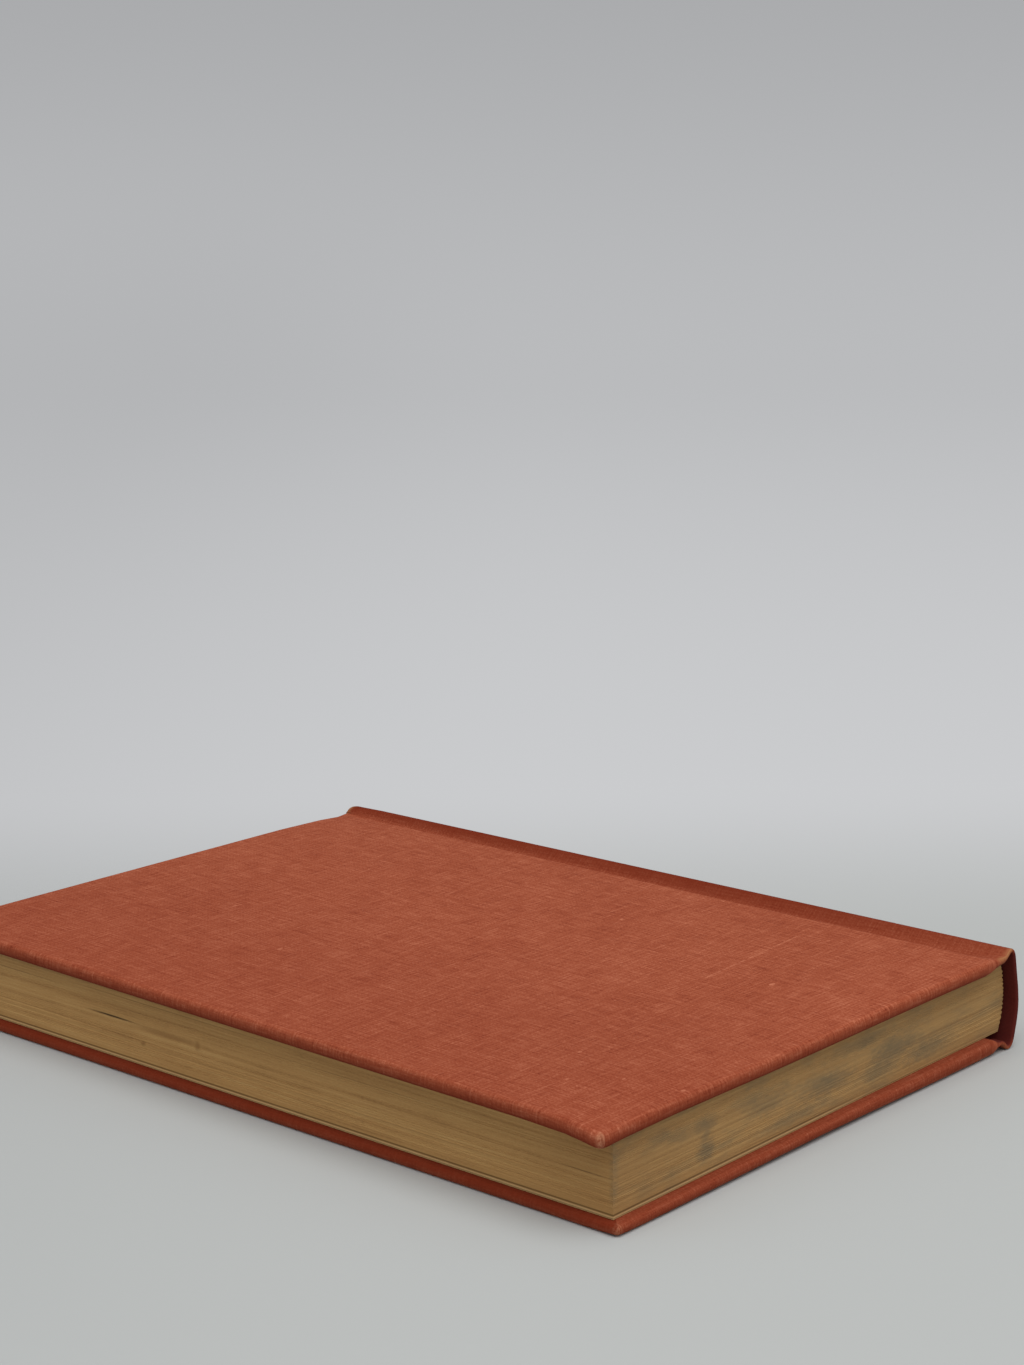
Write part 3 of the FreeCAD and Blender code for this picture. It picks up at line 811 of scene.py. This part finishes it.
def walkSection(section, outward):
    # each station with the direction into the book; at the seam the cloth stands upright
    foot = section["foot"]
    stations = sectionStations(foot, section["points"], 3)
    for i, station in enumerate(stations):
        here = Vector(station[:2])
        before = stations[i - 1] if i else foot
        if i + 1 < len(stations):
            tangent = Vector(stations[i + 1][:2]) - Vector(before[:2])
        else:
            tangent = Vector((0, -outward))
        tangent.normalize()
        yield here, Vector((tangent.y, -tangent.x)) * -outward, station[2], station[3]


def ringLayers(bm):
    numbers = bm.verts.layers.float
    return (numbers["ringY"], numbers["ringDepth"], bm.verts.layers.float_vector["ringStart"],
            numbers["run"])


def nextRing(piece):
    pullOut((-0.1 * mm, 0, 0))
    bm = bmesh.from_edit_mesh(piece.data)
    return [v for v in bm.verts if v.select], ringLayers(bm)


def ringSide(y, thickness):
    # the rounding at head and tail shrinks with the cloth's thickness
    size = coverSize
    inset = size["half"] - abs(y)
    if inset < size["edgeRound"]:
        inset *= min(1, thickness / (2 * size["edgeRound"]))
    return math.copysign(size["half"] - inset, y)


def liftAtEnds(section, y):
    return section["endLift"] * easing(abs(y), *coverSize["jointEnds"])


def grooveRing(piece, section, share, travelled, outward):
    # share is 1 at the start of the joint and 0 at the groove's foot
    size = coverSize
    verts, (ringY, ringDepth, ringStart, run) = nextRing(piece)
    footX, footZ, hem, flat = section["foot"]
    fall = easing(share, *size["jointFall"])
    full = size["thick"] - 0.04
    for v in verts:
        startX, startY, startZ = v[ringStart]
        lift = liftAtEnds(section, v[ringY])
        top = startZ + outward * v[ringDepth] * size["thick"]
        floorZ = footZ + outward * lift
        z = floorZ + (top - floorZ) * fall
        near = (hem if abs(v[ringY]) > size["hemLine"] else flat) + lift
        thickness = near + (full - near) * fall
        askew = (startY - v[ringY]) * share
        v.co = Vector((footX + (startX - footX) * share, ringSide(v[ringY], thickness) + askew,
                       z - outward * v[ringDepth] * thickness)) * mm
        v[run] = -travelled


def spineRing(piece, section, here, inward, hem, flat, travelled, outward):
    size = coverSize
    verts, (ringY, ringDepth, ringStart, run) = nextRing(piece)
    for v in verts:
        thickness = hem if abs(v[ringY]) > size["hemLine"] else flat
        outer = here.copy()
        if outward > 0:
            steep = easing(-v[ringY], 98, 104.5) * max(0, 1 - ((here.x + 69.9) / 2.4) ** 2)
            outer.x += section["tailSteep"] * steep
        # no point of the ridge's foot lies deeper than the groove's floor there
        floorZ = section["foot"][1] + outward * liftAtEnds(section, v[ringY])
        below = max(0, outward * (floorZ - outer.y)) if outer.x > -71 else 0
        outer.y += outward * below
        spot = outer + inward * v[ringDepth] * (thickness + below)
        v.co = Vector((spot.x, ringSide(v[ringY], thickness), spot.y)) * mm
        v[run] = -travelled


def mapJointAndSpine(piece):
    # carry the cloth's map on over the joint and the spine
    size = coverSize
    bm = bmesh.from_edit_mesh(piece.data)
    uv = bm.loops.layers.uv["cloth"]
    ringY, ringDepth, ringStart, run = ringLayers(bm)
    rim = 1.1
    for face in bm.faces:
        if any(v[run] == 0 for v in face.verts):
            continue
        deep = sum(v[ringDepth] for v in face.verts) / len(face.verts)
        for loop in face.loops:
            v = loop.vert
            y = v[ringY]
            if 0.02 < deep < 0.98:
                y = math.copysign(size["half"] + v[ringDepth] * rim, y)
            elif deep >= 0.98:
                y = math.copysign(2 * size["half"] + rim - abs(y), y)
            loop[uv].uv = (v[run], y)


# how the cloth is worn, where the painted shade at the board's edge begins and is full, and how much a
# painted highlight takes back from it on the edge's upper part
caseLook = {
    "front": {"tipWear": 0.6, "rimWear": 0.7, "foldFade": (0.2, -2.8), "paintedEdgeLight": 0},
    "back": {"tipWear": 0.42, "rimWear": 0.12, "foldFade": (1.2, -2.2), "paintedEdgeLight": 0.6},
}


def caseHalf(name, side):
    front = side == "front"
    section = frontSection if front else backSection
    place = frontPlace if front else backPlace
    piece = roundedCover(name, place, front)
    extrudeJointAndSpine(piece, section, 1 if front else -1)
    mapJointAndSpine(piece)
    bpy.ops.mesh.select_all(action="SELECT")
    bpy.ops.mesh.remove_doubles(threshold=0.004 * mm)
    bpy.ops.mesh.select_all(action="SELECT")
    doneEditing()
    applyModifier(piece, "SOLIDIFY", thickness=coverSize["clothThick"] * mm, offset=-1)
    smooth(piece, 50)
    size = {"fore": coverSize["fore"], "end": coverSize["half"], "board": -coverSize["boardSide"]}
    dress(piece, bookCloth(side + " case cloth", size | caseLook[side], front))
    if front:
        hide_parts("front_cover_cloth", "spine_cloth")
    else:
        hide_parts("back_cover_cloth", "spine_cloth")
    bendAtJoint(piece, front)
    print("made", name, len(piece.data.polygons), "faces")


def bendAtJoint(piece, front):
    # the cloth and the endpaper bend between a board's edge and the groove's foot
    outerX, footX, level = bendSpan["front" if front else "back"]
    boardSide = Vector((outerX, 0, level)) * mm
    bookSide = Vector((footX, 0, level)) * mm
    if front:
        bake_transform(piece, "front_cover", "book_block", start=boardSide, end=bookSide)
    else:
        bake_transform(piece, "book_block", "back_cover", start=bookSide, end=boardSide)


# Inside the cloth: two boards with pressed edges, and the card that stiffens the spine

boardSize = {
    "inside": 0.3,       # its two faces, in the cover's own frame
    "outside": 2.1,
    "shorter": 0.3,      # than the cloth, at each end
    "edgeRound": 0.8,
}

cardSize = {
    "top": 21.6,         # between these two heights
    "foot": 2.6,
    "shorter": 0.45,
    "under": 0.34,       # this far in from the spine's outside
    "thick": 0.5,
}


def coverBoard(name, side):
    front = side == "front"
    size = boardSize
    width, height = coverSize["boardSide"], coverSize["half"] - size["shorter"]
    piece = startBox(name, (-width, -height, size["inside"]), (width, height, size["outside"]))
    editing(piece)
    pick(piece, "edge", lambda e, m: True)
    bpy.ops.mesh.bevel(offset=size["edgeRound"] * mm, segments=4, affect="EDGES")
    cutAt("x", alongCuts[:-1])
    cutAt("y", acrossCuts)
    bm = bmesh.from_edit_mesh(piece.data)
    place = frontPlace if front else backPlace
    shapeHems(bm, place, front, size["inside"], size["outside"], 0)
    bm.transform(place)
    bmesh.update_edit_mesh(piece.data)
    doneEditing()
    smooth(piece, 40)
    dress(piece, greyBoard())
    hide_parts(name.replace("cover_board", "board"))
    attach(piece, side + "_cover")
    print("made", name)


def cardLine():
    # follows the spine's section between the two ridges, under the outer cloth
    size = cardSize
    upper = [(h, i) for h, i, hem, flat in walkSection(frontSection, 1) if h.y < size["top"]]
    lower = [(h, i) for h, i, hem, flat in walkSection(backSection, -1) if h.y > size["foot"]]
    return [here + inward * size["under"] for here, inward in upper + lower[-2::-1]]


def spineCard():
    half = coverSize["half"] - cardSize["shorter"]
    line = cardLine()
    top = line[0]
    piece = startPlane("spine_card", 0.1 * mm, 2 * half * mm,
                       Vector((top.x + 0.05, 0, top.y + 0.1)) * mm)
    editing(piece)
    pick(piece, "edge", lambda e, m: m.x < top.x + 0.01)
    for previous, here in zip(line, line[1:]):
        step = (here - previous) * mm
        pullOut((step.x, 0, step.y))
    # the plane it started from goes
    pick(piece, "face", lambda p, m: m.x > top.x + 0.02 and m.z > top.y)
    bpy.ops.mesh.delete(type="FACE")
    faceOutward()
    doneEditing()
    if sum(p.normal.x for p in piece.data.polygons) > 0:
        piece.data.flip_normals()
    applyModifier(piece, "SOLIDIFY", thickness=cardSize["thick"] * mm, offset=-1)
    smooth(piece, 40)
    dress(piece, greyBoard())
    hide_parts("spine_inlay")
    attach(piece, "book_block")
    print("made spine_card")


# Endpapers: the pasted half and its joint, which bends with the cover

endpaperSize = {
    "fore": 63.7,
    "half": 102.0,
    "thick": 0.1,
    "fold": -70.3,
    "gap": 0.02,         # between the paper and the board
    "fromHinge": 0.065,  # level over the joint, outward from the hinge's axis
    "settle": (0.15, 0.6),
}


def paperJoint(piece, place, turn, footX, restZ):
    # pull the paper's open side out over the joint to the fold, in the same steps as the cloth
    size = endpaperSize
    bm = bmesh.from_edit_mesh(piece.data)
    startAt = bm.verts.layers.float_vector.new("startAt")
    straight = bm.verts.layers.float.new("straight")
    for vert in bm.verts:
        vert[straight] = vert.co.y / mm * turn
        vert.co = place @ vert.co
        vert[startAt] = vert.co / mm
    openX = (coverSize["jointFrom"] + 0.1) * mm
    pick(piece, "edge", lambda e, m: e.is_boundary and (place.inverted() @ (m * mm)).x < openX)
    rings = [(k / jointSteps, None) for k in range(jointSteps - 1, -1, -1)]
    rings += [(0, x) for x in spread(footX, size["fold"], 6)[1:]]
    for share, x in rings:
        pullOut((-0.05 * mm, 0, 0))
        bm = bmesh.from_edit_mesh(piece.data)
        startAt = bm.verts.layers.float_vector["startAt"]
        straight = bm.verts.layers.float["straight"]
        settle = easing(1 - share, *size["settle"])
        for v in bm.verts:
            if v.select:
                fromX, fromY, fromZ = v[startAt]
                v.co = Vector((footX + (fromX - footX) * share if x is None else x,
                               v[straight] + (fromY - v[straight]) * share,
                               fromZ + (restZ - fromZ) * settle)) * mm


def endpaper(name, side):
    front = side == "front"
    size = endpaperSize
    hinge = next(j for j in frame["joints"] if j["name"] == side + "_cover_hinge")
    outward = size["fromHinge"] if front else -size["fromHinge"]
    startX = coverSize["jointFrom"]
    piece = startPlane(name, (size["fore"] - startX) * mm, 2 * size["half"] * mm,
                       ((size["fore"] + startX) / 2 * mm, 0, -size["gap"] * mm))
    editing(piece)
    cutAt("x", spread(-60, 60, 9))
    cutAt("y", acrossCuts)
    paperJoint(piece, frontPlace if front else backPlace, 1 if front else -1,
               (frontSection if front else backSection)["foot"][0],
               hinge["pos_m"][2] / mm + outward)
    bm = bmesh.from_edit_mesh(piece.data)
    layer = bm.loops.layers.uv.new("sheet")
    for face in bm.faces:
        for loop in face.loops:
            loop[layer].uv = (loop.vert.co.x / mm, loop.vert.co.y / mm)
    bmesh.update_edit_mesh(piece.data)
    doneEditing()
    applyModifier(piece, "SOLIDIFY", thickness=size["thick"] * mm, offset=-1)
    smooth(piece, 40)
    dress(piece, paper(side + " endpaper", "sheet", layer="sheet"))
    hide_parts(side + "_pastedown")
    bendAtJoint(piece, front)
    print("made", name, len(piece.data.polygons), "faces")


# Leaves: the sewn sections, with single leaves standing in and out a little

leafSize = {
    "layers": 96,
    "perSection": 6,
    "thick": 18.0,       # at the fore-edge
    "wander": 0.07,      # a leaf's edge in or out
    "sectionWander": 0.10,
    "foldDepth": 0.38,   # scallop between two section backs
    "endFlare": 0.7,     # the backs stand out past the lining at head and tail
    "sag": (0.35, 4.5),  # near the shoulder, and how far it reaches
    "seed": 41,
    "cutsX": [-69.6, -68.5, -67, -65, -62, -58, -50, -30, 0, 30, 55, 66],
    "cutsY": [-101.5, -100.4, -99.9, -60, -20, 20, 60, 99.9, 100.4, 101.5],
}


def blockEnds():
    # the block's outline from the CAD, in millimetres
    low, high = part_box("text_block")
    low, high = low / mm, high / mm
    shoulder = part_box("front_flyleaf")[0].x / mm
    return {
        "low": low, "high": high, "shoulder": shoulder, "fore": high.x, "bulge": shoulder - low.x,
        "bottom": (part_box("back_flyleaf")[1].z / mm, low.z),
        "top": (high.z, low.z + leafSize["thick"]),
    }


def between(ends, name, x):
    # a height that runs evenly from the shoulder to the fore-edge
    first, last = ends[name]
    return first + (last - first) * ((x - ends["shoulder"]) / (ends["fore"] - ends["shoulder"]))


def standingOut(bm, ends):
    # every leaf's edges a little in or out, and every section with a rounded back
    size = leafSize
    rng = random.Random(size["seed"])
    leafShift = [(rng.uniform(-1, 1), rng.uniform(-1, 1), rng.uniform(-1, 1))
                 for i in range(size["layers"] + 1)]
    sectionShift = [rng.uniform(-1, 1) for i in range(size["layers"] // size["perSection"] + 2)]
    shoulder, fore = ends["shoulder"], ends["fore"]
    depth, reach = size["sag"]
    for vert in bm.verts:
        x, y, level = vert.co / mm
        index = round(level * size["layers"])
        part = index / size["perSection"]
        bottom, top = between(ends, "bottom", x), between(ends, "top", x)
        sag = depth * math.exp(-(x - shoulder) / reach) * math.sin(level * math.pi * 2)
        z = bottom + (top - bottom) * level + sag
        shift = leafShift[index]
        inner = min(1, 6 * level, 6 * (1 - level))  # none at the two outermost leaves
        group = sectionShift[int(part)] * size["sectionWander"]
        if x > fore - 0.01:
            x -= abs(shift[0] * size["wander"] + group) * inner
        if x < shoulder + 0.01:
            scallop = 0.5 - 0.5 * math.cos(part * 2 * math.pi)
            arc = ends["bulge"] * (1 - (2 * level - 1) ** 2)
            flare = size["endFlare"] * easing(abs(y), 99.9, 100.4) * inner
            x -= max(0, arc + flare - size["foldDepth"] * (1 - scallop ** 0.5) * inner)
        if abs(abs(y) - ends["high"].y) < 0.01:
            y -= math.copysign(abs(shift[1] * size["wander"] + group * 0.7) * inner, y)
        vert.co = Vector((x, y, z)) * mm


def mapLeaves(bm, ends):
    # along the edge and up from the last leaf; the head follows the fore-edge in one map
    uv = bm.loops.layers.uv["leaves"]
    for face in bm.faces:
        normal = face.normal
        for loop in face.loops:
            x, y, z = loop.vert.co / mm
            if abs(normal.z) > 0.9:
                loop[uv].uv = (x, y)
            else:
                along = y if abs(normal.x) > abs(normal.y) else x + leafLook["headFrom"]
                loop[uv].uv = (along, z - between(ends, "bottom", x))


def leafBlock():
    size = leafSize
    ends = blockEnds()
    piece = startBox("leaf_block", (ends["shoulder"], ends["low"].y, 0),
                     (ends["fore"], ends["high"].y, 1))
    editing(piece)
    pick(piece, "edge", lambda e, m: abs(m.z - 0.5) < 0.1)
    bpy.ops.mesh.subdivide(number_cuts=size["layers"] - 1)
    cutAt("x", size["cutsX"])
    cutAt("y", size["cutsY"])
    bm = bmesh.from_edit_mesh(piece.data)
    bm.loops.layers.uv.new("leaves")
    standingOut(bm, ends)
    mapLeaves(bm, ends)
    bmesh.update_edit_mesh(piece.data)
    faceOutward()
    doneEditing()
    smooth(piece, 25)
    dress(piece, leafEdges())
    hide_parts("text_block")
    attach(piece, "book_block")
    print("made leaf_block", len(piece.data.polygons), "faces")


def dressInside():
    # pieces that stay as the CAD has them
    nodes = frame["nodes"]
    leaf = paper("flyleaf", "sheet", trimmed=True)
    dress(nodes["front_flyleaf"], leaf)
    dress(nodes["back_flyleaf"], leaf)
    dress(nodes["spine_lining_paper"], paper("lining paper", "lining"))
    dress(nodes["spine_mull"], openWeave())
    dress(nodes["sewing_thread"], linenThread())
    print("dressed the inside")


# Stage: backdrop, light and camera

cameraSpot = {
    "at": (453.53, 420.05, 212.10),
    "heading": 41.656,   # degrees
    "down": 11.682,
    "roll": -0.633,
    "lens": 72.09,
}

stageLook = {
    "floor": colour(184, 186, 184),
    "floorLeftShade": colour(177, 179, 178),
    # the glowing backdrop's painted light: near, at the wall's foot, at its top
    "nearWall": colour(207, 208, 210),
    "wallFoot": colour(186, 187, 189),
    "wallTop": colour(168, 169, 171),
    "floorNear": 8.0,
    "floorFar": 1.6,
    "sweep": 0.35,
    "wallHeight": 1.6,
    "width": 20.0,
    "world": 0.52,
    "worldColour": (0.97, 0.98, 1.0, 1),
    "keyPower": 19.5,
    "keySize": 1.8,
    "keyAt": (0.24, 0.55, 1.5),
}


def makeCamera():
    heading, down, roll = [math.radians(cameraSpot[key]) for key in ("heading", "down", "roll")]
    ahead = Vector((-math.cos(heading) * math.cos(down), -math.sin(heading) * math.cos(down),
                    -math.sin(down)))
    right = ahead.cross(Vector((0, 0, 1))).normalized()
    up = right.cross(ahead)
    rolledRight = math.cos(roll) * right + math.sin(roll) * up
    rolledUp = -math.sin(roll) * right + math.cos(roll) * up
    data = bpy.data.cameras.new("photo camera")
    data.lens = cameraSpot["lens"]
    data.sensor_width = 36
    data.clip_start = 0.01
    data.clip_end = 50
    camera = bpy.data.objects.new("photo camera", data)
    bpy.context.scene.collection.objects.link(camera)
    turn = Matrix((rolledRight, rolledUp, -ahead)).transposed().to_4x4()
    camera.matrix_world = Matrix.Translation(Vector(cameraSpot["at"]) * mm) @ turn
    bpy.context.scene.camera = camera


def backdropFinish():
    # lit floor near the book; farther off the backdrop glows for the camera in painted light, darker with
    # distance, with height and low on the left; the floor is painted darker toward the left, a painted shade
    look = stageLook
    f = Finish("backdrop")
    x, y, z = f.place()
    heading = math.radians(cameraSpot["heading"])
    behind = (x * -math.cos(heading) + y * -math.sin(heading)) / 1000
    height = z / 1000
    side = (y * math.cos(heading) - x * math.sin(heading)) / 1000
    around = (x * x + y * y) ** 0.5 / 1000
    far = behind.rise(0.05, 0.24).atLeast(around.rise(0.45, 0.9))
    tone = f.mix(behind.rise(-0.4, 1.7), look["nearWall"], look["wallFoot"])
    tone = f.mix(height.rise(-0.02, 0.42), tone, look["wallTop"])
    tone = f.mix(side.rise(0.05, -0.3) * height.rise(0.2, 0) * 0.35, tone, look["wallTop"])
    # painted shade: the floor darker toward the left, where less light falls
    lit = f.mix(side.rise(0.03, -0.25), look["floor"], look["floorLeftShade"])
    ray = f.node("ShaderNodeLightPath")
    seen = Wire(f, ray.outputs["Is Camera Ray"])
    glow = f.node("ShaderNodeEmission", None, {"Color": tone, "Strength": 1.0})
    plain = f.node("ShaderNodeBsdfPrincipled", None,
                   {"Base Color": lit, "Roughness": 0.9, "Specular IOR Level": 0.1})
    both = f.node("ShaderNodeMixShader", None, {0: far * seen})
    f.tree.links.new(plain.outputs[0], both.inputs[1])
    f.tree.links.new(glow.outputs[0], both.inputs[2])
    f.close(both)
    return f.material


def makeBackdrop():
    look = stageLook
    heading = math.radians(cameraSpot["heading"])
    sheet = startPlane("backdrop", look["floorNear"] + look["floorFar"], look["width"],
                       ((look["floorNear"] - look["floorFar"]) / 2, 0, 0))
    editing(sheet)
    pick(sheet, "edge", lambda e, m: m.x < -look["floorFar"] / mm + 1)
    steps = 12
    length = look["sweep"] * math.radians(90) / steps
    for i in range(steps):
        a = math.radians(90 * (i + 0.5) / steps)
        move = (-math.cos(a) * length, 0, math.sin(a) * length)
        pullOut(move)
    pullOut((0, 0, look["wallHeight"]))
    faceOutward()
    bm = bmesh.from_edit_mesh(sheet.data)
    bm.transform(Matrix.Rotation(heading, 4, "Z"))
    bmesh.update_edit_mesh(sheet.data)
    doneEditing()
    smooth(sheet, 60)
    dress(sheet, backdropFinish())


def makeLight():
    look = stageLook
    world = bpy.data.worlds.new("studio")
    bpy.context.scene.world = world
    world.use_nodes = True
    tree = world.node_tree
    light = tree.nodes["Background"]
    light.inputs[0].default_value = look["worldColour"]
    light.inputs[1].default_value = look["world"]
    seen = tree.nodes.new("ShaderNodeBackground")
    seen.inputs[0].default_value = look["nearWall"]
    ray = tree.nodes.new("ShaderNodeLightPath")
    both = tree.nodes.new("ShaderNodeMixShader")
    tree.links.new(ray.outputs["Is Camera Ray"], both.inputs[0])
    tree.links.new(light.outputs[0], both.inputs[1])
    tree.links.new(seen.outputs[0], both.inputs[2])
    tree.links.new(both.outputs[0], tree.nodes["World Output"].inputs[0])
    data = bpy.data.lights.new("overhead", "AREA")
    data.shape = "DISK"
    data.size = look["keySize"]
    data.energy = look["keyPower"]
    lamp = bpy.data.objects.new("overhead", data)
    bpy.context.scene.collection.objects.link(lamp)
    lamp.location = look["keyAt"]
    lamp.rotation_mode = "QUATERNION"
    lamp.rotation_quaternion = (-lamp.location).to_track_quat("-Z", "Y")


bpy.context.scene.view_settings.view_transform = "Standard"
caseHalf("front_case_cloth", "front")
caseHalf("back_case_cloth", "back")
coverBoard("front_cover_board", "front")
coverBoard("back_cover_board", "back")
spineCard()
endpaper("front_endpaper", "front")
endpaper("back_endpaper", "back")
leafBlock()
dressInside()
makeBackdrop()
makeLight()
makeCamera()
